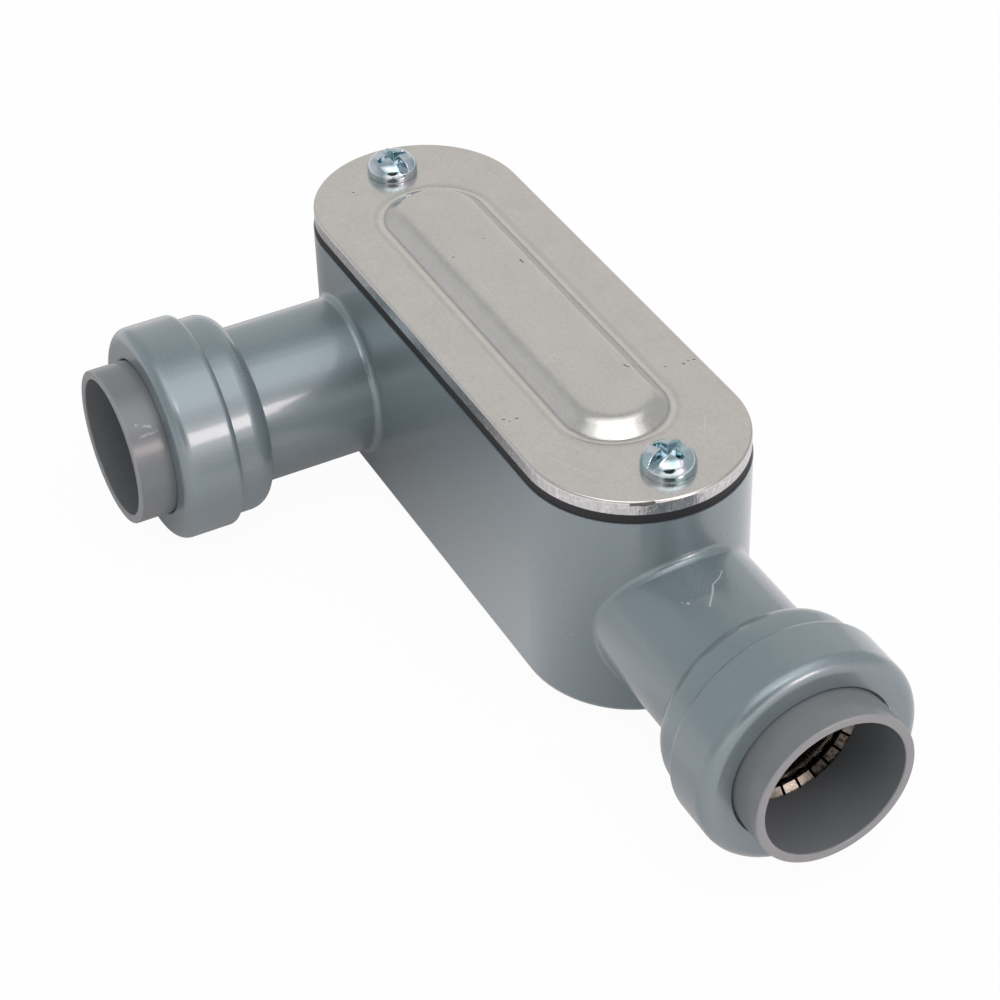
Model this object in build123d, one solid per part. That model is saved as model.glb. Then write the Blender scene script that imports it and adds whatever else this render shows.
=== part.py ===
from build123d import *
import math
import os

# A left-outlet conduit body for half-inch rigid conduit: a cast housing with a hub at one end and a
# hub on one side, a stamped cover over a gasket, and a push-in socket in each hub. All sizes are in
# millimetres. The housing is laid out with X along its length towards the end hub, the side hub
# towards -Y, and Z up from the housing's flat back.

# Housing
body_length = 101.4
body_width = 33.8
body_height = 35.0
body_wall = 2.4
body_floor = 2.6
back_edge_round = 1.2
neck_fillet = 1.1
hub_height = 15.0
side_hub_setback = 22.7
side_neck_length = 18.65
end_neck_length = 16.1

# Cover, gasket and screws
cover_inset = 0.2
cover_thickness = 2.2
cover_edge_round = 0.4
gasket_thickness = 1.5
gasket_inset = 0.2
gasket_rim = 4.4
panel_end_margin = 14.5
panel_side_margin = 8.75
panel_rise = 2.0
panel_slope_width = 2.6
panel_shoulder_round = 3.6
panel_foot_depth = 0.1
panel_foot_round = 1.5
screw_end_distance = 7.05
screw_radius = 2.05
screw_length = 10.0
screw_point_chamfer = 0.6
screw_head_radius = 4.0
screw_head_height = 2.9
screw_crown_round = 1.7
screw_slot_width = 1.15
screw_recess_span = 4.6
screw_recess_depth = 1.7
screw_hole_clearance = 0.25
screw_thread_clearance = 0.05
hub_end_screw_turn = -33.0
closed_end_screw_turn = 28.0
boss_wall = 2.1
boss_depth = 9.0
boss_floor = 1.2

# Conduit and the bores it passes
conduit_radius = 10.67
sleeve_clearance = 0.23
seat_clearance = 0.18
throat_radius = 7.9
throat_flare = 2.0
seat_depth = 14.0

# Hub rings, measured across
neck_wall = 1.65
socket_wall = 2.6
spigot_wall = 1.4
collar_wall = 2.35
sleeve_wall = 1.4
sleeve_play = 0.08
collar_fit = 0.05
flange_lip = 0.85
flange_clearance = 0.15

# Hub rings, measured along the axis from the back of the socket ring
socket_length = 6.2
spigot_length = 3.9
collar_length = 9.35
collar_front_wall = 1.4
collar_back_round = 1.1
collar_front_round = 2.0
collar_mouth_chamfer = 0.25
sleeve_reach = 5.75
sleeve_lip_round = 0.25
flange_thickness = 1.0
flange_gap = 0.1
nose_wall = 0.5
nose_gap = 0.25

# Pieces stacked in the socket
seal_seat_offset = 0.8
seal_section = 2.86
seal_squeeze = 0.37
washer_thickness = 1.0
washer_bore_clearance = 0.35
spring_section = 2.3
spring_squeeze = 0.12
stack_gap = 0.04
spacer_back_wall = 1.1
grip_thickness = 0.4
grip_teeth = 28
grip_slot_width = 0.42
grip_bite = 0.32
grip_angle = 45.0
grip_rim_width = 2.1

# Levels above the housing's back
gasket_top = body_height + gasket_thickness
cover_top = gasket_top + cover_thickness

# Outlines of the stacked plates, and the places of the screws and of the side hub
cover_length = body_length - 2 * cover_inset
cover_width = body_width - 2 * cover_inset
panel_length = cover_length - 2 * panel_end_margin
panel_width = cover_width - 2 * panel_side_margin
gasket_length = body_length - 2 * gasket_inset
gasket_width = body_width - 2 * gasket_inset
screw_place = body_length / 2 - screw_end_distance
side_hub_x = side_hub_setback - body_length / 2

# Radii of the hub pieces, from the conduit outwards
seat_radius = conduit_radius + seat_clearance
neck_radius = seat_radius + neck_wall
sleeve_bore_radius = conduit_radius + sleeve_clearance
sleeve_radius = sleeve_bore_radius + sleeve_wall
collar_bore_radius = sleeve_radius + sleeve_play
flange_radius = sleeve_radius + flange_lip
pocket_radius = flange_radius + flange_clearance
seal_inner_radius = conduit_radius - seal_squeeze
seal_outer_radius = seal_inner_radius + seal_section
chamber_radius = seal_outer_radius + stack_gap
socket_radius = chamber_radius + socket_wall
spigot_radius = chamber_radius + spigot_wall
counterbore_radius = spigot_radius + collar_fit
collar_radius = counterbore_radius + collar_wall
grip_tip_radius = conduit_radius - grip_bite
grip_rim_radius = spigot_radius - stack_gap
grip_bend_radius = grip_rim_radius - grip_rim_width
tooth_slope = math.tan(math.radians(grip_angle))
tooth_rise = grip_thickness / math.cos(math.radians(grip_angle))

# Places along a hub's axis, from the back of the socket ring outwards
spigot_front = socket_length + spigot_length
collar_front = socket_length + collar_length
pocket_front = collar_front - collar_front_wall
sleeve_front = collar_front + sleeve_reach
flange_front = pocket_front - flange_gap
flange_back = flange_front - flange_thickness
seal_back = seal_seat_offset + stack_gap
washer_back = seal_back + seal_section + stack_gap
spring_back = washer_back + washer_thickness + stack_gap
spacer_back = spring_back + spring_section + stack_gap
spacer_front = spigot_front - stack_gap
rim_front = spigot_front + stack_gap + grip_thickness
step_front = rim_front + stack_gap

# How far the whole part reaches, and the shift that puts its origin under its middle
reach_far = body_length / 2
reach_end = body_length / 2 + end_neck_length + sleeve_front
reach_side = body_width / 2 + side_neck_length + sleeve_front
reach_back = body_width / 2
lowest = hub_height - collar_radius
origin_shift = Pos(-(reach_end - reach_far) / 2, (reach_side - reach_back) / 2, -lowest)

# Each hub's frame: Z runs out of the hub, from the back of its socket ring
end_hub = Plane(origin=(body_length / 2 + end_neck_length, 0, hub_height), x_dir=(0, 1, 0), z_dir=(1, 0, 0))
side_hub = Plane(
    origin=(side_hub_x, -body_width / 2 - side_neck_length, hub_height), x_dir=(1, 0, 0), z_dir=(0, -1, 0)
)


def stadium(length, width):
    """A flat outline with straight sides and full-round ends."""
    return SlotOverall(length, width)


def slab(length, width, bottom, height):
    """A stadium-shaped plate that stands on the given level."""
    return Pos(0, 0, bottom) * extrude(stadium(length, width), height)


def turned(points):
    """A ring turned about the hub's axis from (radius, place along the axis) corners."""
    return revolve(Plane.XZ * make_face(Polyline(*points, close=True)), Axis.Z)


def neck_and_socket(neck_length):
    """The outside of one hub: the neck, the rounded shoulder, the socket ring and its spigot."""
    shoulder = socket_radius - neck_radius
    root = -neck_length - body_width / 2
    outline = Curve() + [
        Polyline((0, root), (neck_radius, root), (neck_radius, 0)),
        CenterArc((neck_radius, shoulder), shoulder, -90, 90),
        Polyline(
            (socket_radius, shoulder),
            (socket_radius, socket_length),
            (spigot_radius, socket_length),
            (spigot_radius, spigot_front),
            (0, spigot_front),
            (0, root),
        ),
    ]
    return revolve(Plane.XZ * make_face(outline), Axis.Z)


def hub_bore(neck_length):
    """The inside of one hub: flared throat, conduit stop, conduit seat and seal chamber."""
    wall_inside = -neck_length - body_wall
    mouth_radius = throat_radius + throat_flare
    inner_end = wall_inside - body_wall
    outline = Curve() + [
        Polyline((0, inner_end), (mouth_radius, inner_end), (mouth_radius, wall_inside)),
        CenterArc((mouth_radius, wall_inside + throat_flare), throat_flare, 180, 90),
        Polyline(
            (throat_radius, wall_inside + throat_flare),
            (throat_radius, -seat_depth),
            (seat_radius, -seat_depth),
            (seat_radius, seal_seat_offset),
            (chamber_radius, seal_seat_offset),
            (chamber_radius, spigot_front + 1),
            (0, spigot_front + 1),
            (0, inner_end),
        ),
    ]
    return revolve(Plane.XZ * make_face(outline), Axis.Z)


def screw_boss(place):
    """A tapered-foot boss for one cover screw, joined to the end wall behind it."""
    radius = screw_radius + screw_thread_clearance + boss_wall
    reach = body_length / 2 - abs(place) - body_wall / 2
    side = math.copysign(1, place)
    outline = Circle(radius) + Pos(side * reach / 2, 0) * Rectangle(reach, 2 * radius)
    return Pos(place, 0, body_height - boss_depth) * extrude(outline, boss_depth)


def housing():
    """The cast housing: one hollow body with both necks and socket rings."""
    body = slab(body_length, body_width, 0, body_height)
    body = fillet(body.edges().group_by(Axis.Z)[0], back_edge_round)
    for hub, neck_length in ((end_hub, end_neck_length), (side_hub, side_neck_length)):
        branch = hub * neck_and_socket(neck_length)
        joined = body + branch
        body = fillet(new_edges(body, branch, combined=joined), neck_fillet)
    cavity = slab(body_length - 2 * body_wall, body_width - 2 * body_wall, body_floor, body_height)
    body -= fillet(cavity.edges().group_by(Axis.Z)[0], back_edge_round)
    body -= end_hub * hub_bore(end_neck_length)
    body -= side_hub * hub_bore(side_neck_length)
    for place in (-screw_place, screw_place):
        body += screw_boss(place)
        hole_depth = boss_depth - boss_floor
        hole = Cylinder(screw_radius + screw_thread_clearance, hole_depth + 1)
        body -= Pos(place, 0, body_height - (hole_depth - 1) / 2) * hole
    return body


def raised_panel(inset, level):
    """The tapered, soft-shouldered form of the cover's panel, inset for its underside."""
    taper = math.degrees(math.atan2(panel_slope_width, panel_rise))
    outline = stadium(panel_length - 2 * inset, panel_width - 2 * inset)
    panel = extrude(outline, panel_rise, taper=taper)
    panel = fillet(panel.edges().group_by(Axis.Z)[-1], panel_shoulder_round)
    return Pos(0, 0, level) * panel


def panel_foot():
    """The round bar that presses the cove round the foot of the panel."""
    lift = panel_foot_round - panel_foot_depth
    slope = math.atan2(panel_rise, panel_slope_width)
    beside = (panel_foot_round - lift * math.cos(slope)) / math.sin(slope)
    path = Pos(0, 0, cover_top + lift) * stadium(panel_length + 2 * beside, panel_width + 2 * beside).wire()
    start = path.position_at(0)
    return sweep(Plane(origin=start, z_dir=path.tangent_at(0)) * Circle(panel_foot_round), path)


def cover():
    """The stamped cover, with its raised panel and two screw holes."""
    hole_radius = screw_radius + screw_hole_clearance
    plate = slab(cover_length, cover_width, gasket_top, cover_thickness)
    plate = fillet(plate.edges().group_by(Axis.Z)[-1], cover_edge_round)
    plate += raised_panel(0, cover_top)
    plate -= panel_foot()
    plate -= raised_panel(panel_slope_width / 2, gasket_top)
    for place in (-screw_place, screw_place):
        plate -= Pos(place, 0, cover_top) * Cylinder(hole_radius, 4 * cover_thickness)
    return plate


def gasket():
    """The sheet gasket: a stadium ring with wide ends round the screws."""
    hole_radius = screw_radius + screw_hole_clearance
    sheet = slab(gasket_length, gasket_width, body_height, gasket_thickness)
    window = stadium(2 * (screw_place - hole_radius - gasket_rim), gasket_width - 2 * gasket_rim)
    sheet -= Pos(0, 0, body_height) * extrude(window, gasket_thickness)
    for place in (-screw_place, screw_place):
        sheet -= Pos(place, 0, body_height) * Cylinder(hole_radius, 4 * gasket_thickness)
    return sheet


def cover_screw(place, turn):
    """A pan-head screw with a slot and a cross recess, standing in its hole."""
    head = Pos(0, 0, screw_head_height / 2) * Cylinder(screw_head_radius, screw_head_height)
    head = fillet(head.edges().group_by(Axis.Z)[-1], screw_crown_round)
    shank = Pos(0, 0, -screw_length / 2) * Cylinder(screw_radius, screw_length)
    shank = chamfer(shank.edges().group_by(Axis.Z)[0], screw_point_chamfer)
    floor = screw_head_height - screw_recess_depth
    slot = Box(4 * screw_head_radius, screw_slot_width, screw_head_height)
    cross = Box(screw_slot_width, screw_recess_span, screw_head_height)
    screw = head + shank - Pos(0, 0, floor + screw_head_height / 2) * (slot + cross)
    return Pos(place, 0, cover_top) * Rot(0, 0, turn) * screw


def circles(ring, radius):
    """The round edges of a ring that have the given radius."""
    return ring.edges().filter_by(GeomType.CIRCLE).filter_by(lambda edge: abs(edge.radius - radius) < 0.01)


def collar():
    """The cast cap pressed over the spigot, which holds the sleeve's flange and the grip ring."""
    ring = turned(
        (
            (counterbore_radius, socket_length),
            (collar_radius, socket_length),
            (collar_radius, collar_front),
            (collar_bore_radius, collar_front),
            (collar_bore_radius, pocket_front),
            (pocket_radius, pocket_front),
            (pocket_radius, step_front),
            (counterbore_radius, step_front),
        )
    )
    ring = fillet(circles(ring, collar_radius).group_by(Axis.Z)[0], collar_back_round)
    ring = fillet(circles(ring, collar_radius).group_by(Axis.Z)[-1], collar_front_round)
    return chamfer(circles(ring, collar_bore_radius).group_by(Axis.Z)[-1], collar_mouth_chamfer)


def tooth_front(radius):
    """Where the front face of the inclined teeth lies at a radius, along the axis."""
    return rim_front - (grip_bend_radius - radius) * tooth_slope


def release_sleeve():
    """The sliding sleeve: a thin tube with a flange behind the collar and a tapered nose."""
    nose_radius = sleeve_bore_radius + nose_wall
    nose_tip = tooth_front(nose_radius) + nose_gap
    tube = turned(
        (
            (sleeve_bore_radius, nose_tip),
            (nose_radius, nose_tip),
            (sleeve_radius, flange_back),
            (flange_radius, flange_back),
            (flange_radius, flange_front),
            (sleeve_radius, flange_front),
            (sleeve_radius, sleeve_front),
            (sleeve_bore_radius, sleeve_front),
        )
    )
    return fillet(tube.edges().group_by(Axis.Z)[-1], sleeve_lip_round)


def grip_ring():
    """The spring-steel grip ring: a clamped flat rim and a row of inclined teeth."""
    rim_back = rim_front - grip_thickness
    tip_front = tooth_front(grip_tip_radius)
    ring = turned(
        (
            (grip_tip_radius, tip_front - tooth_rise),
            (grip_tip_radius, tip_front),
            (grip_bend_radius, rim_front),
            (grip_rim_radius, rim_front),
            (grip_rim_radius, rim_back),
            (tooth_back_radius(rim_back), rim_back),
        )
    )
    slot_length = grip_bend_radius - grip_tip_radius + 1
    middle = grip_bend_radius - slot_length / 2
    slot = Pos(middle, 0, rim_front) * Box(slot_length, grip_slot_width, 4 * slot_length)
    return ring - [Rot(0, 0, 360 / grip_teeth * index) * slot for index in range(grip_teeth)]


def tooth_back_radius(place):
    """Where the back face of the inclined teeth lies at a place along the axis."""
    return grip_bend_radius - (rim_front - tooth_rise - place) / tooth_slope


def spacer_ring():
    """The ring that holds the spring down and leaves the teeth a cone to bend into."""
    outer = chamber_radius - stack_gap
    back = outer - spacer_back_wall
    front = tooth_back_radius(spacer_front) + stack_gap
    return turned(((back, spacer_back), (outer, spacer_back), (outer, spacer_front), (front, spacer_front)))


def bonding_spring():
    """The envelope of the close-wound spring ring that bonds the conduit to the housing."""
    radius = spring_section / 2
    middle = conduit_radius - spring_squeeze + radius
    return Pos(0, 0, spring_back + radius) * Torus(middle, radius)


def seal_washer():
    """The flat washer that keeps the seal ring in its chamber."""
    inner = conduit_radius + washer_bore_clearance
    outer = chamber_radius - stack_gap
    front = washer_back + washer_thickness
    return turned(((inner, washer_back), (outer, washer_back), (outer, front), (inner, front)))


def seal_ring():
    """The rubber ring that seals on the conduit."""
    radius = seal_section / 2
    return Pos(0, 0, seal_back + radius) * Torus(seal_inner_radius + radius, radius)


def hub_pieces():
    """The pieces of one push-in socket, in the hub's own frame."""
    return {
        "collar": collar(),
        "release_sleeve": release_sleeve(),
        "grip_ring": grip_ring(),
        "spacer_ring": spacer_ring(),
        "bonding_spring": bonding_spring(),
        "seal_washer": seal_washer(),
        "seal_ring": seal_ring(),
    }


def all_pieces():
    """Every node of the conduit body by name, in the housing's frame."""
    pieces = {
        "housing": housing(),
        "cover": cover(),
        "cover_gasket": gasket(),
        "cover_screw_hub_end": cover_screw(screw_place, hub_end_screw_turn),
        "cover_screw_closed_end": cover_screw(-screw_place, closed_end_screw_turn),
    }
    for side, hub in (("end", end_hub), ("side", side_hub)):
        for name, solid in hub_pieces().items():
            pieces[f"{side}_{name}"] = hub * solid
    return pieces


os.makedirs("parts", exist_ok=True)
for node, solid in all_pieces().items():
    export_step(origin_shift * solid, f"parts/{node}.step")
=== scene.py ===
"""Looks of a left-outlet conduit body with two push-in hubs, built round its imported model.

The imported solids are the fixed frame. The casting, the collars, the cover, the gasket, the sleeves and the
rings of the sockets keep their solids and get their finishes here. The threaded screws and the wound springs
are surfaces worked out with numpy, which stand for their solids. Sizes are in millimetres where a name ends in
_mm, and in metres elsewhere.
"""

from __future__ import annotations

import logging
import math
from abc import ABC, abstractmethod
from dataclasses import dataclass, field
from enum import Enum

import bpy
import numpy as np
from mathutils import Matrix, Vector

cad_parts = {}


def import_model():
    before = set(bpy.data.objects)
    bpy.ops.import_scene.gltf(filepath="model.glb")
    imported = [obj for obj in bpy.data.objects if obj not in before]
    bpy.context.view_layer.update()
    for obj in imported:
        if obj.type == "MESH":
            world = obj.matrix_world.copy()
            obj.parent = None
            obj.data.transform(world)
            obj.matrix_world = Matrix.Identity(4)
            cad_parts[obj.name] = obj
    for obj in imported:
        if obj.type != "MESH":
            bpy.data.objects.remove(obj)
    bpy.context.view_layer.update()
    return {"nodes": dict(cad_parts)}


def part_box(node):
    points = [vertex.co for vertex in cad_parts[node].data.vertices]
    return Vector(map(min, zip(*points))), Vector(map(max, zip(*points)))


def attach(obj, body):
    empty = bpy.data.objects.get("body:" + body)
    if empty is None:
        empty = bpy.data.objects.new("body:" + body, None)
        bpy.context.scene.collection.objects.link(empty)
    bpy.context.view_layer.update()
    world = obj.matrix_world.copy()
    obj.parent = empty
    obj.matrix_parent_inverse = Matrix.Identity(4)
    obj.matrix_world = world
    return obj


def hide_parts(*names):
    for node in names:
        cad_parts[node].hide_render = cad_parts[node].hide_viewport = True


LOG = logging.getLogger("conduit_body")
MM = 0.001
MARK_CORE = 0.4
Colour = tuple[float, float, float]
Point = tuple[float, float, float]


def linear(red: int, green: int, blue: int) -> Colour:
    """Turns a display colour, 0 to 255, into the linear colour that shaders use.

    Args:
        red: The red channel.
        green: The green channel.
        blue: The blue channel.

    Returns:
        The linear colour, by the power curve of the usual display with its straight foot.
    """

    def channel(value: int) -> float:
        """Gives one linear channel."""
        share = value / 255
        return share / 12.92 if share <= 0.04045 else ((share + 0.055) / 1.055) ** 2.4

    return channel(red), channel(green), channel(blue)


# ---- Shader maths ----


class Value:
    """One output of a shader node, whose arithmetic adds Math nodes."""

    def __init__(self, graph: Graph, socket: bpy.types.NodeSocket) -> None:
        """Wraps a socket of a graph."""
        self.graph = graph
        self.socket = socket

    def __add__(self, other: Value | float) -> Value:
        """Sum."""
        return self.graph.math("ADD", self, other)

    __radd__ = __add__

    def __sub__(self, other: Value | float) -> Value:
        """Difference."""
        return self.graph.math("SUBTRACT", self, other)

    def __rsub__(self, other: Value | float) -> Value:
        """Difference from the left."""
        return self.graph.math("SUBTRACT", other, self)

    def __mul__(self, other: Value | float) -> Value:
        """Product."""
        return self.graph.math("MULTIPLY", self, other)

    __rmul__ = __mul__

    def __truediv__(self, other: Value | float) -> Value:
        """Quotient."""
        return self.graph.math("DIVIDE", self, other)

    def __pow__(self, other: Value | float) -> Value:
        """Power."""
        return self.graph.math("POWER", self, other)

    def __abs__(self) -> Value:
        """Size without sign."""
        return self.graph.math("ABSOLUTE", self)

    def least(self, other: Value | float) -> Value:
        """The smaller of two values."""
        return self.graph.math("MINIMUM", self, other)

    def most(self, other: Value | float) -> Value:
        """The larger of two values."""
        return self.graph.math("MAXIMUM", self, other)

    def step(self, low: float, high: float) -> Value:
        """A soft step.

        Args:
            low: Where the step starts to leave 0.
            high: Where it reaches 1. It may be under low, for a falling step.

        Returns:
            The step, between 0 and 1.
        """
        kind = {"interpolation_type": "SMOOTHSTEP"}
        if low < high:
            return self.graph.node("ShaderNodeMapRange", kind, {0: self, 1: low, 2: high, 3: 0.0, 4: 1.0})
        return self.graph.node("ShaderNodeMapRange", kind, {0: self, 1: high, 2: low, 3: 1.0, 4: 0.0})


Input = Value | float | tuple | str


class Graph:
    """A shader node tree that is written as expressions."""

    def __init__(self, tree: bpy.types.NodeTree) -> None:
        """Starts an empty tree."""
        self.tree = tree
        self.tree.nodes.clear()

    def node(
        self,
        kind: str,
        settings: dict | None = None,
        inputs: dict | None = None,
        output: int | str | None = 0,
    ) -> Value:
        """Adds a node.

        Args:
            kind: The node's type.
            settings: Its settings, set first.
            inputs: Values or links of its sockets, by number or name.
            output: The output that is wanted, or None for a node that has none.

        Returns:
            That output.
        """
        node = self.tree.nodes.new(kind)
        for name, setting in (settings or {}).items():
            setattr(node, name, setting)
        for key, given in (inputs or {}).items():
            if isinstance(given, Value):
                self.tree.links.new(given.socket, node.inputs[key])
            else:
                node.inputs[key].default_value = given
        return Value(self, None if output is None else node.outputs[output])

    def math(self, operation: str, *values: Value | float) -> Value:
        """Adds a Math node on numbers."""
        return self.node("ShaderNodeMath", {"operation": operation}, dict(enumerate(values)))

    def vector(self, operation: str, *values: Value | Point, output: int | str = 0) -> Value:
        """Adds a Vector Math node."""
        return self.node("ShaderNodeVectorMath", {"operation": operation}, dict(enumerate(values)), output)

    def blend(self, factor: Value | float, first: Value | Colour, second: Value | Colour) -> Value:
        """Mixes two colours.

        Args:
            factor: The share of the second colour.
            first: The first colour.
            second: The second colour.

        Returns:
            The mixed colour.
        """
        pair = [c if isinstance(c, Value) else (*c, 1.0) for c in (first, second)]
        return self.node("ShaderNodeMix", {"data_type": "RGBA"}, {0: factor, 6: pair[0], 7: pair[1]}, 2)

    def place(self) -> Value:
        """The place on the piece, in metres."""
        return self.node("ShaderNodeTexCoord", output="Object")

    def part(self, vector: Value, axis: int) -> Value:
        """One coordinate of a vector: 0 for X, 1 for Y, 2 for Z."""
        return self.node("ShaderNodeSeparateXYZ", None, {0: vector}, axis)

    def noise(self, where: Value, size_mm: float, detail: float, stretch: Point = (1.0, 1.0, 1.0)) -> Value:
        """Smooth noise about 0.5.

        Args:
            where: The place.
            size_mm: The size of its features.
            detail: How many finer layers it has.
            stretch: How many times longer a feature is along each axis.

        Returns:
            The noise.
        """
        scale = tuple(1 / (size_mm * MM * s) for s in stretch)
        spot = self.vector("MULTIPLY", where, scale)
        inputs = {"Vector": spot, "Scale": 1.0, "Detail": detail}
        return self.node("ShaderNodeTexNoise", {"noise_dimensions": "3D"}, inputs)

    def cells(self, where: Value, size_mm: float) -> Value:
        """A random level, 0 to 1, for each small cell of space."""
        spot = self.vector("MULTIPLY", where, (1 / (size_mm * MM),) * 3)
        colour = self.node("ShaderNodeTexVoronoi", None, {"Vector": spot, "Scale": 1.0}, "Color")
        return self.node("ShaderNodeSeparateColor", None, {0: colour}, 0)

    def line_distance(self, where: Value, start_mm: Point, end_mm: Point) -> Value:
        """The distance to a straight line between two points.

        The point's share along the line is the dot product with the line over its length squared, kept between
        0 and 1, and the distance is measured from the point of the line at that share.

        Args:
            where: The place, in metres.
            start_mm: One end of the line.
            end_mm: The other end.

        Returns:
            The distance in millimetres.
        """
        start = np.array(start_mm) * MM
        run = np.array(end_mm) * MM - start
        reach = max(float(run @ run), 1e-12)
        away = self.vector("SUBTRACT", where, tuple(start))
        along = self.vector("DOT_PRODUCT", away, tuple(run), output="Value") / reach
        share = self.node("ShaderNodeClamp", None, {0: along})
        foot = self.node("ShaderNodeVectorMath", {"operation": "SCALE"}, {0: tuple(run), "Scale": share})
        return self.vector("DISTANCE", away, foot, output="Value") / MM

    def marks(self, where: Value, lines: tuple[Mark, ...]) -> Value:
        """Where fine marks lie.

        Args:
            where: The place, in metres.
            lines: The marks.

        Returns:
            1 in the middle of a mark, falling to 0 at its edge.
        """
        found: Value | None = None
        for mark in lines:
            away = self.line_distance(where, mark.start_mm, mark.end_mm)
            near = away.step(mark.width_mm, mark.width_mm * MARK_CORE)
            found = near if found is None else found.most(near)
        return found

    def scaled(self, colour: Colour | Value, level: Value | float) -> Value:
        """Lightens or darkens a colour."""
        return self.node("ShaderNodeVectorMath", {"operation": "SCALE"}, {0: colour, "Scale": level})

    def bump(self, height: Value, depth_mm: float) -> Value:
        """Turns a height into a tilted normal.

        Args:
            height: The height, as a share of the depth.
            depth_mm: How deep the relief is.

        Returns:
            The normal.
        """
        return self.node("ShaderNodeBump", None, {"Strength": 1.0, "Distance": depth_mm * MM, "Height": height})

    def surface(self, shader: Value) -> None:
        """Joins a surface shader to the material's output."""
        self.node("ShaderNodeOutputMaterial", None, {"Surface": shader}, None)


@dataclass(frozen=True)
class Mark:
    """A fine straight mark, such as a nick or a stretch of a scratch."""

    start_mm: Point
    end_mm: Point
    width_mm: float


# ---- Finishes ----


class Slot(Enum):
    """The record's material slots."""

    CASTING = "painted_casting"
    SHEET = "cover_sheet"
    GASKET = "gasket"
    ZINC = "zinc_screw"
    SLEEVE = "sleeve_plastic"
    STEEL = "spring_steel"
    SPACER = "spacer_plastic"
    SEAL = "seal_rubber"


@dataclass(frozen=True)
class Finish(ABC):
    """A surface finish that can make its material."""

    slot: Slot

    @abstractmethod
    def shade(self, graph: Graph) -> dict[str, Input]:
        """Gives the sockets of the surface shader.

        Args:
            graph: The material's graph.

        Returns:
            Values and links by socket name.
        """

    def material(self) -> bpy.types.Material:
        """Makes the material.

        Returns:
            A material named after its slot.
        """
        made = bpy.data.materials.new(self.slot.value)
        made.use_nodes = True
        graph = Graph(made.node_tree)
        graph.surface(graph.node("ShaderNodeBsdfPrincipled", None, self.shade(graph)))
        return made


@dataclass(frozen=True)
class PaintedCasting(Finish):
    """Blue-grey metallic paint over a cast skin, with fine flecks and an orange-peel gloss."""

    slot: Slot = Slot.CASTING
    colour: Colour = linear(127, 140, 145)
    worn_colour: Colour = linear(214, 219, 222)
    fleck_mm: float = 0.17
    peel_mm: float = 0.42
    skin_mm: float = 2.4
    cloud_mm: float = 16.0
    relief_mm: float = 0.012
    scratches: tuple[Mark, ...] = ()

    def shade(self, graph: Graph) -> dict[str, Input]:
        """Flecks lighten and darken the paint cell by cell, and the sprayed skin ripples its gloss.

        Args:
            graph: The material's graph.

        Returns:
            Values and links by socket name.
        """
        where = graph.place()
        fleck = graph.cells(where, self.fleck_mm)
        cloud = graph.noise(where, self.cloud_mm, 3.0)
        peel = graph.noise(where, self.peel_mm, 1.0)
        skin = graph.noise(where, self.skin_mm, 2.0)
        level = 0.94 + fleck * 0.08 + (cloud - 0.5) * 0.08
        scratched = graph.marks(where, self.scratches)
        return {
            "Base Color": graph.blend(scratched * 0.7, graph.scaled(self.colour, level), self.worn_colour),
            "Metallic": 0.45,
            "Roughness": 0.34 + (fleck - 0.5) * 0.12 + (cloud - 0.5) * 0.06,
            "Coat Weight": 0.9,
            "Coat Roughness": 0.11,
            "Normal": graph.bump(peel * 0.75 + fleck * 0.05 + skin - scratched, self.relief_mm),
        }


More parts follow.
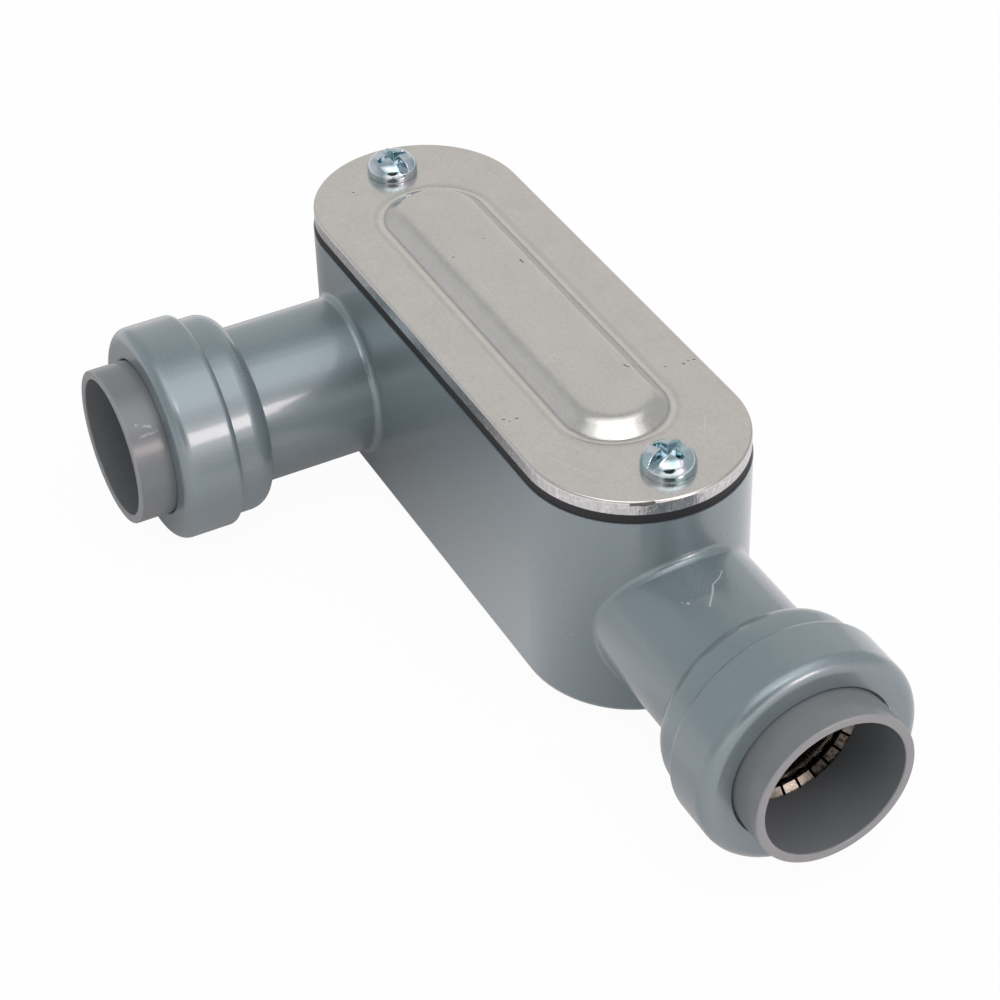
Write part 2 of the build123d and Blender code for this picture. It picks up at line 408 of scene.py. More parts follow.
@dataclass(frozen=True)
class MillSheet(Finish):
    """Aluminium sheet as rolled: dull clouds and grain, fine rub lines, small dark nicks and a blanked edge."""

    slot: Slot = Slot.SHEET
    colour: Colour = linear(211, 207, 202)
    edge_colour: Colour = linear(212, 212, 212)
    nick_colour: Colour = linear(48, 45, 43)
    top_mm: float = 40.7
    middle_mm: Point = (-18.7, 19.975, 0.0)
    panel_straight_mm: float = 56.1
    panel_radius_mm: float = 7.95
    cloud_mm: float = 5.0
    grain_mm: float = 0.45
    line_mm: float = 0.12
    brush_mm: float = 0.16
    torn_mm: float = 0.3
    chip_mm: float = 0.7
    relief_mm: float = 0.02
    nicks: tuple[Mark, ...] = ()
    rubs: tuple[Mark, ...] = ()

    def shade(self, graph: Graph) -> dict[str, Input]:
        """Clouds, grain and rolling lines mottle the face, and below its rim the edge is torn upright.

        The die's crease at the panel's foot and a line round it are bumped in as a groove and a shallow dip. In
        the colour the crease and that dip are painted shade, and a line between them is a painted highlight.
        They are told
        by the distance to a stadium: the length of the vector (what |x| has over the straight half, y), less
        the radius. Each line is a soft step of how far that distance is from the line's own.

        Args:
            graph: The material's graph.

        Returns:
            Values and links by socket name.
        """
        where = graph.place()
        height = graph.part(where, 2) / MM
        beyond = abs(graph.part(where, 0) / MM - self.middle_mm[0]) - self.panel_straight_mm / 2
        aside = graph.part(where, 1) / MM - self.middle_mm[1]
        away = (beyond.most(0.0) ** 2 + aside * aside) ** 0.5 - self.panel_radius_mm
        crease_and_painted_shade = abs(away - 0.05).step(0.28, 0.08)
        painted_highlight_line = abs(away - 0.62).step(0.42, 0.12)
        dip_and_painted_shade = abs(away - 1.45).step(0.50, 0.12)
        cloud = graph.noise(where, self.cloud_mm, 4.0)
        grain = graph.noise(where, self.grain_mm, 2.0)
        rolled = graph.noise(where, self.line_mm, 2.0, (45.0, 1.0, 45.0))
        brushed = graph.noise(where, self.brush_mm, 2.0, (1.0, 30.0, 30.0)).step(0.56, 0.72)
        torn = graph.noise(where, self.torn_mm, 3.0, (1.0, 1.0, 7.0))
        chipped = graph.noise(where, self.chip_mm, 3.0).step(0.5, 0.68)
        edge = height.step(self.top_mm - 0.25, self.top_mm - 0.55)
        level = 0.97 + (cloud - 0.5) * 0.14 + (grain - 0.5) * 0.20 + (rolled - 0.5) * 0.12
        # Painted shade in the crease and on the outer line, and a painted highlight on the inner line.
        level = level + painted_highlight_line * 0.08 - dip_and_painted_shade * 0.08 - crease_and_painted_shade * 0.25
        nick = graph.marks(where, self.nicks) * 0.88
        rub = graph.marks(where, self.rubs)
        face = graph.scaled(self.colour, level + rub * 0.12 - brushed * 0.03)
        # A lighter band just under the rim's top is a painted highlight; the torn and chipped streaks are the
        # edge's own.
        rim = abs(height - self.top_mm + 0.36).step(0.16, 0.04)
        side = graph.scaled(self.edge_colour, 0.62 + torn * 0.55 + chipped * 0.22 + rim * 0.35)
        relief = (cloud - 0.5) * 0.6 + (grain - 0.5) * 0.16 + (rolled - 0.5) * 0.10 - crease_and_painted_shade * 0.8 - dip_and_painted_shade * 0.3
        torn_relief = edge * ((torn - 0.5) * 1.6 + chipped * 0.9)
        return {
            "Base Color": graph.blend(nick, graph.blend(edge, face, side), self.nick_colour),
            "Metallic": 0.94 - nick * 0.9,
            "Roughness": 0.21 + (cloud - 0.5) * 0.12 + (grain - 0.5) * 0.08 + nick * 0.3,
            "Normal": graph.bump(relief + torn_relief - nick * 1.2 + rub * 0.25, self.relief_mm),
        }


@dataclass(frozen=True)
class BrightMetal(Finish):
    """Bright metal with a tint that comes and goes, such as zinc on a screw."""

    slot: Slot = Slot.ZINC
    colour: Colour = linear(208, 213, 222)
    tint: Colour = linear(158, 191, 194)
    roughness: float = 0.09
    patch_mm: float = 2.2
    fine_mm: float = 0.25
    relief_mm: float = 0.02

    def shade(self, graph: Graph) -> dict[str, Input]:
        """The tint lies in soft patches, and the metal is faintly uneven.

        Args:
            graph: The material's graph.

        Returns:
            Values and links by socket name.
        """
        where = graph.place()
        patch = graph.noise(where, self.patch_mm, 3.0)
        fine = graph.noise(where, self.fine_mm, 2.0)
        return {
            "Base Color": graph.blend(patch.step(0.34, 0.70), self.colour, self.tint),
            "Metallic": 1.0,
            "Roughness": self.roughness + (fine - 0.5) * 0.06,
            "Normal": graph.bump(patch + fine * 0.35, self.relief_mm),
        }


@dataclass(frozen=True)
class ToothedSteel(Finish):
    """Spring steel of a toothed ring, darker or brighter from tooth to tooth as painted reflection."""

    slot: Slot = Slot.STEEL
    colour: Colour = linear(186, 176, 164)
    dark_colour: Colour = linear(54, 49, 46)
    centre_mm: Point = (0.0, 0.0, 0.0)
    along: Point = (1.0, 0.0, 0.0)
    teeth: int = 28
    stain_mm: float = 0.6
    fine_mm: float = 0.2
    relief_mm: float = 0.02

    def shade(self, graph: Graph) -> dict[str, Input]:
        """A tooth's number is its angle round the hub's axis times the teeth in a turn, rounded down.

        Its lot is what is left of a large multiple of the sine of that number, once its whole part is taken
        away.

        Args:
            graph: The material's graph.

        Returns:
            Values and links by socket name.
        """
        where = graph.place()
        across = 1 if abs(self.along[0]) > 0.5 else 0
        sideways = graph.part(where, across) - self.centre_mm[across] * MM
        upwards = graph.part(where, 2) - self.centre_mm[2] * MM
        angle = graph.math("ARCTAN2", upwards, sideways)
        number = graph.math("FLOOR", angle * (self.teeth / (2 * math.pi)))
        lot = graph.math("FRACT", abs(graph.math("SINE", number * 12.9898 + 476.82)) * 437.585)
        stain = graph.noise(where, self.stain_mm, 3.0)
        # The tone from tooth to tooth is painted reflection, for how each tooth catches the light; the stain
        # noise adds darker stain patches.
        dark = (lot.step(0.25, 0.7) * 0.8 + stain.step(0.45, 0.7) * 0.3).least(1.0)
        return {
            "Base Color": graph.blend(dark, self.colour, self.dark_colour),
            "Metallic": 1.0,
            "Roughness": 0.24 + lot * 0.16,
            "Normal": graph.bump(stain + graph.noise(where, self.fine_mm, 2.0) * 0.4, self.relief_mm),
        }


@dataclass(frozen=True)
class Moulded(Finish):
    """A moulded plastic or rubber with a fine even grain."""

    slot: Slot = Slot.SLEEVE
    colour: Colour = linear(117, 121, 123)
    roughness: float = 0.22
    grain_mm: float = 0.35
    relief_mm: float = 0.004
    cloud_mm: float = 9.0
    scuffs: tuple[Mark, ...] = ()
    scuff_colour: Colour = linear(190, 194, 202)
    rim_highlight_colour: Colour = linear(190, 184, 186)
    rim_way: Point = (0.0, 0.0, 0.0)
    rim_mm: float = 0.0

    def shade(self, graph: Graph) -> dict[str, Input]:
        """Clouds shift the tone slightly and a grain breaks up the gloss.

        The rim is lightened as a painted highlight, and it is told by how far out a point lies: its place times
        the rim's way.

        Args:
            graph: The material's graph.

        Returns:
            Values and links by socket name.
        """
        where = graph.place()
        grain = graph.noise(where, self.grain_mm, 2.0)
        cloud = graph.noise(where, self.cloud_mm, 2.0)
        colour: Input = graph.scaled(self.colour, 0.97 + (cloud - 0.5) * 0.10 + (grain - 0.5) * 0.05)
        height = grain + cloud * 2.0
        if self.scuffs:
            rubbed = graph.marks(where, self.scuffs) * graph.noise(where, 0.5, 3.0).step(0.36, 0.62)
            colour = graph.blend(rubbed * 0.45, colour, self.scuff_colour)
            height = height + rubbed * 2.5
        if self.rim_mm:
            out = graph.part(where, 0) / MM * self.rim_way[0] + graph.part(where, 1) / MM * self.rim_way[1]
            # A painted highlight along the sleeve's rim.
            rim = out.step(self.rim_mm - 0.40, self.rim_mm - 0.05)
            colour = graph.blend(rim * 0.26, colour, self.rim_highlight_colour)
        return {
            "Base Color": colour,
            "Roughness": self.roughness + (grain - 0.5) * 0.10 + (cloud - 0.5) * 0.10,
            "Normal": graph.bump(height, self.relief_mm),
        }


# ---- Surfaces ----


def grid_object(
    name: str, points: np.ndarray, around: bool, closed: bool, poles: tuple[Point, ...] = ()
) -> bpy.types.Object:
    """Makes an object from a grid of points joined into quads.

    Point (i, j) of an m by n grid is vertex i * n + j, and each quad joins it to its neighbours at i + 1 and
    j + 1, counted modulo the grid where it closes on itself. A pole is one more vertex, fanned to its row.

    Args:
        name: The piece's name.
        points: An array of m by n points, in metres.
        around: Whether the last column joins the first.
        closed: Whether the last row joins the first.
        poles: Two points that close the first and the last row, or nothing.

    Returns:
        The object, with smooth faces.
    """
    rows, columns = points.shape[:2]
    row_count, column_count = rows if closed else rows - 1, columns if around else columns - 1
    i, j = np.meshgrid(np.arange(row_count), np.arange(column_count), indexing="ij")
    below, beside = (i + 1) % rows, (j + 1) % columns
    quads = np.stack([i * columns + j, below * columns + j, below * columns + beside, i * columns + beside], -1)
    quads = quads.reshape(-1, 4)
    vertices = points.reshape(-1, 3)
    fans = np.zeros((0, 3), int)
    if poles:
        ring = np.arange(columns)
        turned = (ring + 1) % columns
        last = (rows - 1) * columns
        count = len(vertices)
        vertices = np.concatenate([vertices, np.array(poles)])
        first_fan = np.stack([np.full(columns, count), ring, turned], -1)
        last_fan = np.stack([np.full(columns, count + 1), last + turned, last + ring], -1)
        fans = np.concatenate([first_fan, last_fan])
    mesh = bpy.data.meshes.new(name)
    mesh.vertices.add(len(vertices))
    mesh.vertices.foreach_set("co", vertices.astype(np.float32).ravel())
    corners = np.concatenate([quads.ravel(), fans.ravel()])
    starts = np.concatenate([np.arange(len(quads)) * 4, len(quads) * 4 + np.arange(len(fans)) * 3])
    mesh.loops.add(len(corners))
    mesh.loops.foreach_set("vertex_index", corners.astype(np.int32))
    mesh.polygons.add(len(starts))
    mesh.polygons.foreach_set("loop_start", starts.astype(np.int32))
    mesh.update(calc_edges=True)
    mesh.polygons.foreach_set("use_smooth", np.ones(len(starts), bool))
    made = bpy.data.objects.new(name, mesh)
    bpy.context.scene.collection.objects.link(made)
    return made


@dataclass(frozen=True)
class Axis:
    """A straight axis with two directions across it."""

    origin: Point
    along: Point
    across: Point

    def middle_mm(self) -> Point:
        """The origin in millimetres, rounded to a hundredth."""
        return tuple(round(number / MM, 2) for number in self.origin)

    def place(self, radius: np.ndarray, angle: np.ndarray, along: np.ndarray) -> np.ndarray:
        """Puts cylinder coordinates into the row's frame.

        A point is the origin, plus its place along the axis, plus its radius times the cosine of its angle in
        the first direction across and the sine in the second.

        Args:
            radius: Radii, in metres.
            angle: Angles, in radians.
            along: Places along the axis, in metres.

        Returns:
            An array of points.
        """
        axis, first = np.array(self.along), np.array(self.across)
        second = np.cross(axis, first)
        radius, angle, along = np.broadcast_arrays(radius, angle, along)
        return (
            np.array(self.origin)
            + along[..., None] * axis
            + (radius * np.cos(angle))[..., None] * first
            + (radius * np.sin(angle))[..., None] * second
        )


def paint(piece: bpy.types.Object, material: bpy.types.Material) -> None:
    """Gives a piece its only material."""
    piece.data.materials.clear()
    piece.data.materials.append(material)


def settle(piece: bpy.types.Object, body: str, finish: Slot, *nodes: str) -> None:
    """Lets a finished piece ride on a body and stand for its nodes.

    Args:
        piece: The piece.
        body: The body that it moves with.
        finish: The record's slot of its finish; not used.
        nodes: The nodes that it stands for.
    """
    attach(piece, body)
    if nodes:
        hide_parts(*nodes)
    LOG.info("%s: %d faces on %s", piece.name, len(piece.data.polygons), body)


@dataclass
class Shop:
    """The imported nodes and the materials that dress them."""

    nodes: dict[str, bpy.types.Object]
    finishes: dict[str, bpy.types.Material] = field(default_factory=dict)

    def finish(self, kind: Finish) -> bpy.types.Material:
        """Gives a finish's material, made once."""
        key = repr(kind)
        if key not in self.finishes:
            self.finishes[key] = kind.material()
        return self.finishes[key]

    def dress(self, node: str, kind: Finish) -> None:
        """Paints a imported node."""
        paint(self.nodes[node], self.finish(kind))
        LOG.info("%s: packed solid with %s", node, kind.slot.value)


# ---- The cover and its screws ----


@dataclass
class CoverScrew:
    """A pan-head screw with a slot, a cross recess and a rolled thread."""

    node: str
    turn_deg: float
    head_radius_mm: float = 4.0
    head_height_mm: float = 2.9
    edge_height_mm: float = 0.55
    crown_power: float = 3.1
    slot_width_mm: float = 1.4
    slot_depth_mm: float = 1.5
    wing_width_mm: float = 1.3
    wing_span_mm: float = 5.0
    recess_depth_mm: float = 1.9
    wing_rise_mm: float = 1.2
    slot_wall_mm: float = 0.12
    wing_wall_mm: float = 0.14
    wing_end_mm: float = 0.3
    burr_mm: float = 0.06
    burr_gap_mm: float = 0.16
    burr_width_mm: float = 0.1
    burr_reach_mm: float = 3.2
    shank_radius_mm: float = 2.05
    shank_length_mm: float = 10.0
    point_mm: float = 0.6
    thread_pitch_mm: float = 0.8
    thread_depth_mm: float = 0.28
    thread_start_mm: float = 3.2
    columns: int = 256
    crown_rows: int = 112
    shank_rows: int = 118

    def _crown(self, radius: np.ndarray) -> np.ndarray:
        """The crown's height at a radius.

        It is the side's height plus the crown's rise times the square root of one less the radius's share of
        the head, raised to a power that keeps the top broad and turns down hard at the rim.
        """
        share = np.clip(radius / self.head_radius_mm, 0, 1) ** self.crown_power
        return self.edge_height_mm + (self.head_height_mm - self.edge_height_mm) * np.sqrt(1 - share)

    def _head_profile(self) -> tuple[np.ndarray, np.ndarray]:
        """The head from its middle to the shank, as radii and heights over the bearing face.

        The crown's radii are even at first and then crowd towards the rim as the sine of their turn. The side
        is straight, its foot a quarter of a small circle, and the bearing face is flat.
        """
        share = np.linspace(0.012, 1, self.crown_rows)
        crowded = np.sin(share * math.pi / 2) ** (2 / self.crown_power)
        even = share < 0.62
        radius = self.head_radius_mm * np.where(even, share * crowded[even][-1] / share[even][-1], crowded)
        turn = np.linspace(0, 1, 9)[1:] * math.pi / 2
        side = np.full(5, self.head_radius_mm), np.linspace(self.edge_height_mm - 0.06, 0.15, 5)
        foot = self.head_radius_mm - 0.15 + 0.15 * np.cos(turn), 0.15 - 0.15 * np.sin(turn)
        face = np.linspace(self.head_radius_mm - 0.3, self.shank_radius_mm + 0.02, 10), np.zeros(10)
        return (
            np.concatenate([radius, side[0], foot[0], face[0]]),
            np.concatenate([self._crown(radius), side[1], foot[1], face[1]]),
        )

    def _cut_crown(self, x: np.ndarray, y: np.ndarray, crown: np.ndarray) -> np.ndarray:
        """The crown's height once the slot and the cross are cut in it.

        The slot is a band about one axis with a flat floor. The cross is four wings, as bands about both axes,
        whose floors rise from the middle outwards. Each band falls off as a smooth step over a narrow wall,
        and the deeper cut counts. A burr is a thin ridge beside the slot, as the tool left it.

        Args:
            x: Places along the slot.
            y: Places across it.
            crown: The uncut height.

        Returns:
            The height.
        """

        def band(distance: np.ndarray, half: float | np.ndarray, wall: float) -> np.ndarray:
            """1 inside a band about a line and 0 outside it."""
            share = np.clip((half + wall / 2 - np.abs(distance)) / wall, 0, 1)
            return share * share * (3 - 2 * share)

        radius = np.hypot(x, y)
        reach = radius / (self.wing_span_mm / 2)
        narrow = self.wing_width_mm / 2 * np.clip(1.15 - 0.4 * reach, 0.6, 1.15)
        slot_floor = self.head_height_mm - self.slot_depth_mm
        rise = self.wing_rise_mm * np.clip(reach - 0.25, 0, 1) ** 1.5
        wing_floor = self.head_height_mm - self.recess_depth_mm + rise
        slot = band(y, self.slot_width_mm / 2, self.slot_wall_mm) * np.maximum(crown - slot_floor, 0)
        cross = np.maximum(band(x, narrow, self.wing_wall_mm), band(y, narrow, self.wing_wall_mm))
        wings = cross * band(radius, self.wing_span_mm / 2, self.wing_end_mm)
        beside = np.abs(y) - self.slot_width_mm / 2 - self.burr_gap_mm
        ridge = np.exp(-((beside / self.burr_width_mm) ** 2)) * (radius < self.burr_reach_mm)
        cut = np.maximum(slot, wings * np.maximum(crown - wing_floor, 0))
        return np.minimum(crown + self.burr_mm * ridge, self.head_height_mm) - cut

    def build(self, shop: Shop) -> None:
        """Makes the screw as one closed surface of revolution whose head is cut by the recess.

        The shank's radius falls by the thread's depth times a triangle wave of height over pitch minus angle
        over a full turn, and it narrows to a blunt point.

        Args:
            shop: The nodes and finishes.
        """
        low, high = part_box(self.node)
        centre = (low + high) / 2
        axis = Axis((centre.x, centre.y, high.z - self.head_height_mm * MM), (0, 0, 1), (1, 0, 0))
        radius, height = self._head_profile()
        drop = np.linspace(0, self.shank_length_mm, self.shank_rows)[1:]
        narrow = np.clip((drop - self.shank_length_mm + self.point_mm) / self.point_mm, 0, 1)
        head_rows = len(radius)
        radius = np.concatenate([radius, self.shank_radius_mm - self.point_mm * narrow])[:, None]
        height = np.concatenate([height, -drop])[:, None]
        angle = (np.arange(self.columns) * 2 * math.pi / self.columns)[None, :]
        turned = angle - math.radians(self.turn_deg)
        row = np.arange(len(radius))[:, None]
        cut = self._cut_crown(radius * np.cos(turned), radius * np.sin(turned), height)
        height = np.where(row < self.crown_rows, cut, height)
        wave = np.abs((-height / self.thread_pitch_mm - angle / (2 * math.pi)) % 1 * 2 - 1)
        threaded = (row >= head_rows) & (height < -self.thread_start_mm)
        radius = radius - np.where(threaded, self.thread_depth_mm * wave, 0)
        points = axis.place(radius * MM, angle, height * MM)
        floor = self.head_height_mm - self.recess_depth_mm
        ends = axis.place(np.zeros(2), np.zeros(2), np.array([floor, -self.shank_length_mm]) * MM)
        piece = grid_object(f"{self.node}_turned", points, True, False, tuple(map(tuple, ends)))
        paint(piece, shop.finish(BrightMetal()))
        settle(piece, "fitting", Slot.ZINC, self.node)


@dataclass
class CoverSet:
    """The stamped cover, its gasket and its two screws."""

    nicks: tuple[Mark, ...] = (
        Mark((4.5, 5.0, 40.7), (4.7, 5.2, 40.7), 0.16),
        Mark((5.2, 6.7, 40.7), (5.3, 6.95, 40.7), 0.18),
        Mark((5.3, 5.6, 40.7), (5.4, 5.7, 40.7), 0.12),
        Mark((4.8, 31.1, 40.7), (4.95, 31.3, 40.7), 0.13),
        Mark((5.4, 33.7, 40.7), (5.6, 33.9, 40.7), 0.17),
        Mark((5.1, 34.7, 40.7), (5.2, 34.85, 40.7), 0.12),
        Mark((5.3, 35.5, 40.7), (5.4, 35.8, 40.7), 0.15),
        Mark((3.85, 24.95, 42.6), (4.05, 25.05, 42.6), 0.24),
        Mark((4.25, 25.2, 42.5), (4.4, 25.3, 42.5), 0.22),
        Mark((-59.6, 11.75, 40.7), (-59.5, 11.85, 40.7), 0.16),
        Mark((-58.7, 11.9, 40.7), (-58.6, 12.0, 40.7), 0.12),
        Mark((-27.2, 24.5, 42.7), (-26.4, 24.6, 42.7), 0.20),
        Mark((-32.9, 16.0, 42.7), (-32.6, 16.1, 42.7), 0.12),
        Mark((-35.1, 22.3, 42.7), (-35.0, 22.4, 42.7), 0.12),
        Mark((-8.6, 24.9, 42.7), (-8.0, 25.0, 42.7), 0.13),
        Mark((6.6, 12.0, 41.0), (6.9, 12.1, 41.0), 0.17),
        Mark((29.55, 11.5, 40.3), (30.2, 12.8, 40.35), 0.34),
        Mark((30.2, 12.6, 40.35), (30.4, 13.3, 40.25), 0.48),
        Mark((30.35, 13.3, 40.3), (30.75, 14.3, 40.4), 0.46),
        Mark((30.9, 13.6, 39.9), (31.0, 14.2, 39.9), 0.14),
    )
    rubs: tuple[Mark, ...] = (
        Mark((-2.2, 15.4, 42.7), (-3.0, 16.9, 42.7), 0.12),
        Mark((-3.0, 16.9, 42.7), (-3.1, 18.3, 42.7), 0.12),
        Mark((-2.3, 17.4, 42.7), (-3.6, 17.6, 42.7), 0.10),
        Mark((12.0, 8.5, 40.7), (19.0, 13.4, 40.7), 0.10),
        Mark((16.0, 6.8, 40.7), (22.5, 10.1, 40.7), 0.10),
        Mark((-44.0, 9.2, 40.7), (-39.0, 10.6, 40.7), 0.10),
        Mark((18.0, 30.0, 40.7), (22.0, 27.4, 40.7), 0.12),
    )

    def build(self, shop: Shop) -> None:
        """Dresses the sheet pieces and turns the screws.

        Args:
            shop: The nodes and finishes.
        """
        shop.dress("cover", MillSheet(nicks=self.nicks, rubs=self.rubs))
        shop.dress("cover_gasket", Moulded(Slot.GASKET, linear(26, 26, 29), 0.6, 0.3, 0.01))
        CoverScrew("cover_screw_hub_end", 110.0).build(shop)
        CoverScrew("cover_screw_closed_end", 8.0).build(shop)


# ---- The push-in hubs ----


@dataclass
class PushInHub:
    """One hub: its collar, its release sleeve, and the rings stacked in its socket."""

    side: str
    along: Point
    scuffs: tuple[Mark, ...] = ()

    def _axis(self) -> Axis:
        """The hub's axis, from the back of its socket ring outwards."""
        low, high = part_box(f"{self.side}_collar")
        along = Vector(self.along)
        middle = (low + high) / 2
        half = abs((high - low).dot(along)) / 2
        back = middle - along * (half + 6.2 * MM)
        return Axis(tuple(back), self.along, (0, 0, 1))

    def build(self, shop: Shop) -> None:
        """Dresses the hub's solids and winds its spring.

        Args:
            shop: The nodes and finishes.
        """
        axis = self._axis()
        shop.dress(f"{self.side}_collar", PaintedCasting(scratches=CASTING_SCRATCHES))
        rim_mm = max(corner.dot(Vector(self.along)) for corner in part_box(f"{self.side}_release_sleeve")) / MM
        sleeve = Moulded(scuffs=self.scuffs, rim_way=self.along, rim_mm=round(rim_mm, 3))
        shop.dress(f"{self.side}_release_sleeve", sleeve)
        shop.dress(f"{self.side}_grip_ring", ToothedSteel(centre_mm=axis.middle_mm(), along=self.along))
        shop.dress(f"{self.side}_spacer_ring", Moulded(Slot.SPACER, linear(52, 52, 54), 0.45))
        shop.dress(f"{self.side}_seal_washer", Moulded(Slot.SPACER, linear(52, 52, 54), 0.45))
        shop.dress(f"{self.side}_seal_ring", Moulded(Slot.SEAL, linear(34, 34, 36), 0.5))
        BondingSpring(self.side, axis).build(shop)


@dataclass
class BondingSpring:
    """A close-wound coil bent into a ring, which bonds the conduit to the housing."""

    side: str
    axis: Axis
    wire_mm: float = 0.26
    turns: int = 236
    points_per_turn: int = 22
    wire_sides: int = 6

    def build(self, shop: Shop) -> None:
        """Winds the wire round the ring's core.

        The wire's middle goes round the ring once while it turns about the ring's core many times: its radius
        is the ring's plus the coil's times the cosine of the coil's angle, and its height the coil's times the
        sine. The wire's own circle is set across its direction of travel.

        Args:
            shop: The nodes and finishes.
        """
        node = f"{self.side}_bonding_spring"
        low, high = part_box(node)
        size = high - low
        thin = min(size)
        outer = max(size) / 2
        coil = (thin - self.wire_mm * MM) / 2
        ring = outer - thin / 2
        middle = np.array((low + high) / 2)
        axis, first = np.array(self.axis.along), np.array(self.axis.across)
        second = np.cross(axis, first)
        steps = self.turns * self.points_per_turn
        around = np.arange(steps) * 2 * math.pi / steps
        wound = around * self.turns
        outward = np.cos(around)[:, None] * first + np.sin(around)[:, None] * second
        spoke = np.cos(wound)[:, None] * outward + np.sin(wound)[:, None] * axis
        line = middle + outward * ring + spoke * coil
        travel = np.roll(line, -1, 0) - np.roll(line, 1, 0)
        travel /= np.linalg.norm(travel, axis=1, keepdims=True)
        side = np.cross(travel, spoke)
        angle = np.arange(self.wire_sides) * 2 * math.pi / self.wire_sides
        radius = self.wire_mm * MM / 2
        points = line[:, None] + radius * (
            np.cos(angle)[None, :, None] * spoke[:, None] + np.sin(angle)[None, :, None] * side[:, None]
        )
        piece = grid_object(f"{node}_wound", points, True, True)
        wire = BrightMetal(Slot.STEEL, linear(186, 178, 166), linear(120, 110, 98), 0.2, 3.0)
        paint(piece, shop.finish(wire))
        settle(piece, "fitting", Slot.STEEL, node)


CASTING_SCRATCHES = (
    Mark((36.2, 22.1, 29.35), (37.4, 21.0, 29.5), 0.13),
    Mark((37.4, 21.0, 29.5), (38.3, 19.4, 29.52), 0.15),
    Mark((38.3, 19.4, 29.52), (39.7, 18.5, 29.44), 0.20),
    Mark((39.7, 18.5, 29.44), (41.6, 16.9, 29.14), 0.17),
    Mark((39.0, 15.0, 28.5), (39.2, 15.1, 28.5), 0.22),
    Mark((38.3, 14.5, 28.3), (38.4, 14.5, 28.3), 0.14),
    Mark((63.6, 29.3, 24.9), (63.6, 30.6, 23.2), 0.24),
    Mark((63.6, 31.0, 22.6), (63.6, 31.7, 21.4), 0.30),
    Mark((63.6, 32.1, 20.5), (63.6, 32.3, 19.8), 0.22),
)


# ---- The studio ----


def direction(azimuth_deg: float, elevation_deg: float) -> Vector:
    """The unit vector towards an azimuth, counted from +X towards +Y, and an elevation."""
    azimuth, elevation = math.radians(azimuth_deg), math.radians(elevation_deg)
    level = math.cos(elevation)
    return Vector((math.cos(azimuth) * level, math.sin(azimuth) * level, math.sin(elevation)))


@dataclass(frozen=True)
class SoftBox:
    """An area lamp that looks at the part's middle."""

    name: str
    azimuth_deg: float
    elevation_deg: float
    width: float
    height: float
    radiance: float
    colour: Colour = (1.0, 1.0, 1.0)
    distance: float = 1.0

    def build(self, target: Vector) -> None:
        """Hangs the lamp.

        Args:
            target: The point that it looks at.
        """
        away = direction(self.azimuth_deg, self.elevation_deg)
        lamp = bpy.data.lights.new(self.name, "AREA")
        lamp.shape = "RECTANGLE"
        lamp.size, lamp.size_y = self.width, self.height
        lamp.energy = self.radiance * math.pi * self.width * self.height
        lamp.color = self.colour
        made = bpy.data.objects.new(self.name, lamp)
        made.location = target + away * self.distance
        made.rotation_euler = away.to_track_quat("Z", "Y").to_euler()
        bpy.context.scene.collection.objects.link(made)


@dataclass(frozen=True)
class Glow:
    """A soft patch of the room's light, such as a pale wall."""

    azimuth_deg: float
    elevation_deg: float
    inner_deg: float
    outer_deg: float
    colour: Colour

    def share(self, graph: Graph, where: Value) -> Value:
        """How far a direction lies in the patch: the cosine to its middle, in a soft step."""
        middle = tuple(direction(self.azimuth_deg, self.elevation_deg))
        near = graph.vector("DOT_PRODUCT", where, middle, output="Value")
        return near.step(math.cos(math.radians(self.outer_deg)), math.cos(math.radians(self.inner_deg)))


@dataclass(frozen=True)
class Shade:
    """A soft round patch of shade on the floor."""

    middle: Point
    inner: float
    outer: float
    depth: float


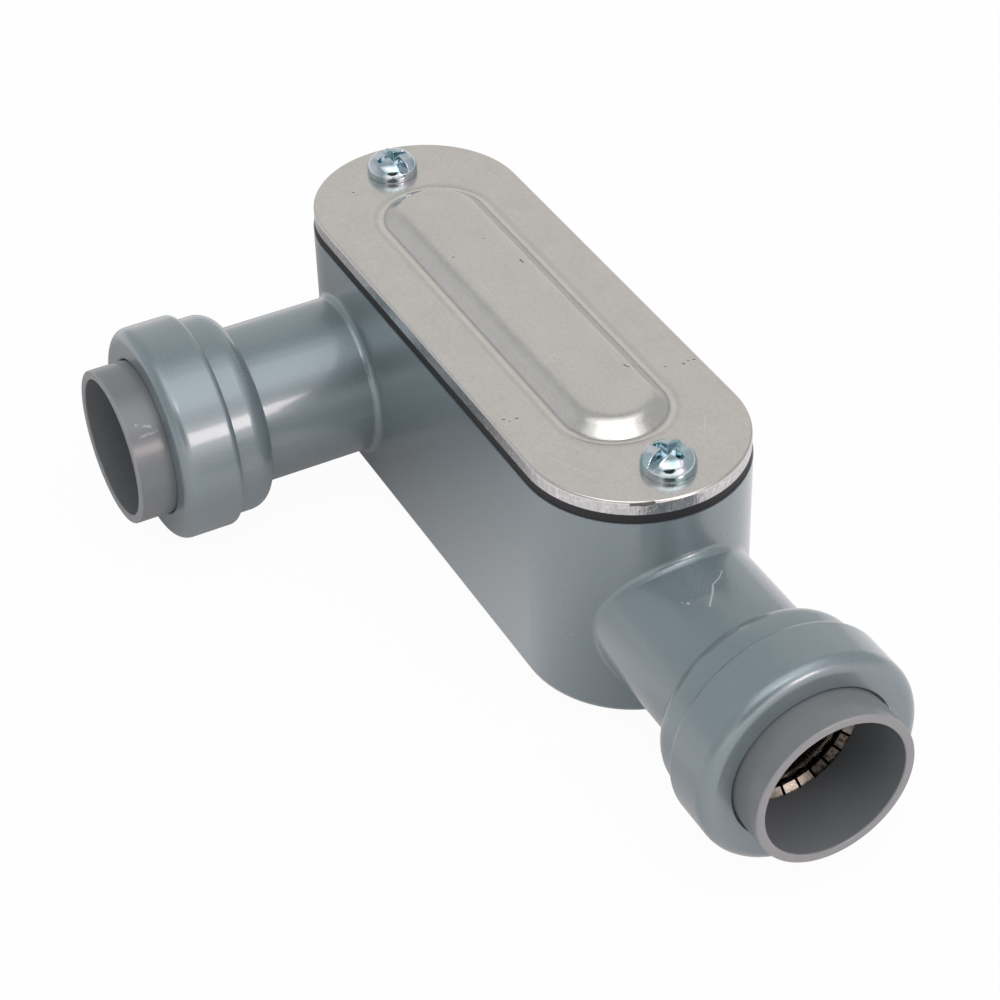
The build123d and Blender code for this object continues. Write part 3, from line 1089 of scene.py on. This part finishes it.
@dataclass
class Studio:
    """The camera at the photograph's view, the pale floor, the soft lamps and the room's light."""

    azimuth_deg: float = 63.7396
    elevation_deg: float = 38.7676
    roll_deg: float = -1.8655
    distance_mm: float = 418.464
    sideways_mm: float = -3.485
    upward_mm: float = -13.0107
    focus_px: float = 2739.53
    frame_px: float = 1000.0
    sensor_mm: float = 36.0
    pivot_mm: Point = (-18.7, 19.975, 20.7)
    boxes: tuple[SoftBox, ...] = (
        SoftBox("key_box", 17.0, 20.5, 0.26, 0.23, 8.0, (1.0, 0.85, 0.83)),
        SoftBox("high_box", -6.0, 58.0, 0.30, 0.18, 2.6, (0.92, 0.97, 1.0)),
        SoftBox("over_box", -12.0, 72.0, 1.00, 0.70, 0.85, (0.98, 0.97, 1.0)),
        SoftBox("wide_box", -12.0, 74.0, 1.55, 1.15, 0.62, (0.98, 0.97, 1.0)),
    )
    ambient: Colour = (0.50, 0.53, 0.54)
    glows: tuple[Glow, ...] = (
        Glow(154.0, 21.0, 23.0, 37.0, (0.24, 0.21, 0.19)),
        Glow(20.0, 28.0, 12.0, 50.0, (0.12, 0.05, 0.06)),
        Glow(-14.0, 0.0, 20.0, 60.0, (1.00, 0.86, 0.83)),
        Glow(-140.0, 12.0, 10.0, 40.0, (0.16, 0.15, 0.16)),
    )
    dark_side: Glow = Glow(-26.0, 35.0, 18.0, 25.0, (0.04, 0.04, 0.04))
    floor_tone: Colour = (0.97, 0.92, 0.93)
    floor_matt: Colour = (0.85, 0.85, 0.85)
    floor_shown: float = 0.96
    floor_gloss: float = 0.7
    floor_reach: float = 2.0
    floor_drop: float = 0.00003
    shades: tuple[Shade, ...] = (
        Shade((-0.075, -0.012, 0.0), 0.030, 0.085, 0.73),
        Shade((0.043, -0.002, 0.0), 0.010, 0.034, 0.42),
    )

    def camera(self) -> None:
        """Sets up the camera.

        It stands off its pivot along the line of sight, moved by the offsets across that line, and its image
        plane is turned by the roll.
        """
        azimuth, elevation, roll = map(math.radians, (self.azimuth_deg, self.elevation_deg, self.roll_deg))
        flat = math.cos(elevation)
        back = Vector((math.sin(azimuth) * flat, -math.cos(azimuth) * flat, math.sin(elevation)))
        right = Vector((math.cos(azimuth), math.sin(azimuth), 0.0))
        up = back.cross(right)
        level = math.cos(roll) * right + math.sin(roll) * up
        upright = math.cos(roll) * up - math.sin(roll) * right
        eye = back * self.distance_mm + level * self.sideways_mm + upright * self.upward_mm
        eye = eye + Vector(self.pivot_mm)
        data = bpy.data.cameras.new("camera")
        data.sensor_width = self.sensor_mm
        data.lens = self.focus_px * self.sensor_mm / self.frame_px
        data.clip_start, data.clip_end = 0.01, 50.0
        camera = bpy.data.objects.new("camera", data)
        turn = Matrix((level, upright, back)).transposed().to_4x4()
        camera.matrix_world = Matrix.Translation(eye * MM) @ turn
        bpy.context.scene.collection.objects.link(camera)
        bpy.context.scene.camera = camera

    def floor(self) -> None:
        """Lays a pale floor, which shows near white and keeps a faint shadow.

        It glows by a share that the kind of ray sets, and is matt for the rest. In gloss it is dimmer in the
        part's own shade, patch by patch: each patch takes away its depth times a soft step of the distance to
        its middle.
        """
        span = np.array([-self.floor_reach, self.floor_reach])
        x, y = np.meshgrid(span, span, indexing="ij")
        floor = grid_object("floor", np.stack([x, y, np.full_like(x, -self.floor_drop)], -1), False, False)
        made = bpy.data.materials.new("floor")
        made.use_nodes = True
        graph = Graph(made.node_tree)
        shown = self._ray(graph, "Is Camera Ray").most(self._ray(graph, "Is Transmission Ray"))
        gloss = self._ray(graph, "Is Glossy Ray")
        matt = graph.node("ShaderNodeBsdfDiffuse", None, {"Color": (*self.floor_matt, 1.0)})
        where = graph.place()
        level: Value | float = 1.0
        for shade in self.shades:
            away = graph.vector("DISTANCE", where, shade.middle, output="Value")
            level = (1.0 - away.step(shade.outer, shade.inner) * shade.depth) * level
        tone = graph.blend(shown, graph.scaled(self.floor_tone, level), (1.0, 1.0, 1.0))
        glow = graph.node("ShaderNodeEmission", None, {"Color": tone, "Strength": 1.0})
        share = (shown * self.floor_shown).most(gloss * self.floor_gloss)
        graph.surface(graph.node("ShaderNodeMixShader", None, {0: share, 1: matt, 2: glow}))
        paint(floor, made)

    @staticmethod
    def _ray(graph: Graph, kind: str) -> Value:
        """1 for rays of a kind."""
        return graph.node("ShaderNodeLightPath", None, None, kind)

    def room(self) -> None:
        """Lights the room, which is white to the camera and has a few soft patches for everything else."""
        world = bpy.data.worlds.new("room")
        bpy.context.scene.world = world
        world.use_nodes = True
        graph = Graph(world.node_tree)
        where = graph.node("ShaderNodeTexCoord", output="Generated")
        tone: Value | Colour = self.ambient
        for glow in self.glows:
            tone = graph.vector("ADD", tone, graph.scaled(glow.colour, glow.share(graph, where)))
        tone = graph.blend(self.dark_side.share(graph, where), tone, self.dark_side.colour)
        shown = self._ray(graph, "Is Camera Ray").most(self._ray(graph, "Is Transmission Ray"))
        tone = graph.blend(shown, tone, (1.0, 1.0, 1.0))
        light = graph.node("ShaderNodeBackground", None, {"Color": tone, "Strength": 1.0})
        graph.node("ShaderNodeOutputWorld", None, {"Surface": light}, None)

    def build(self) -> None:
        """Sets up the whole studio."""
        bpy.context.scene.view_settings.view_transform = "Standard"
        self.camera()
        self.floor()
        self.room()
        for box in self.boxes:
            box.build(Vector(self.pivot_mm) * MM)


def corners(box: tuple) -> list[list[float]]:
    """A box as plain lists of numbers."""
    return [[float(number) for number in corner] for corner in box]


def main() -> None:
    """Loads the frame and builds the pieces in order."""
    logging.basicConfig(level=logging.INFO, format="%(name)s: %(message)s")
    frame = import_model()
    shop = Shop(frame["nodes"])
    Studio().build()
    shop.dress("housing", PaintedCasting(scratches=CASTING_SCRATCHES))
    CoverSet().build(shop)
    PushInHub("end", (1.0, 0.0, 0.0)).build(shop)
    side_scuffs = (
        Mark((-38.4, -35.0, 26.1), (-37.7, -32.6, 25.4), 0.30),
        Mark((-37.1, -35.0, 24.7), (-37.2, -32.2, 24.8), 0.26),
    )
    PushInHub("side", (0.0, -1.0, 0.0), side_scuffs).build(shop)


if __name__ == "__main__":
    main()
